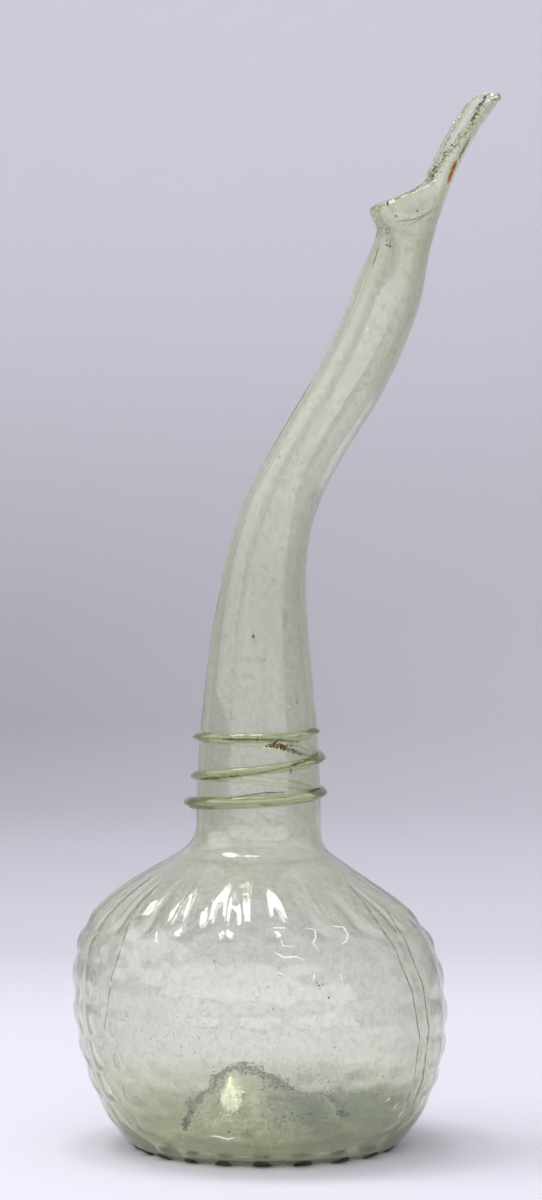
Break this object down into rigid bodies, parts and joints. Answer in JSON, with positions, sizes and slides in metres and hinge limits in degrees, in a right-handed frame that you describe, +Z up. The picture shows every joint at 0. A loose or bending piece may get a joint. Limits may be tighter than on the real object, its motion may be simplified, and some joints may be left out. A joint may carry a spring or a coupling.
{
  "type": "swan-neck glass bottle",
  "caption": "Hollow blown-glass sprinkler bottle with a lobed globe, conical kick, thread-wound curved neck, pinched throat and a long open tongue.",
  "frame": {"origin": "middle of the bounding box at its bottom, on the surface that the bottle stands on", "axes": "+Z up, +X the way the neck bends and the tongue points, -Y the side that faces the picture's viewer"},
  "size_m": [0.1311, 0.1142, 0.3224],
  "materials": {
    "pale_green_glass": "clear blown glass with a faint grey-green tint, weathered film and dirt in its hollows"
  },
  "bodies": {
    "root": {"globe_and_lower_neck": "pale_green_glass", "neck_bend": "pale_green_glass", "mouth_and_tongue": "pale_green_glass"}
  },
  "joints": []
}
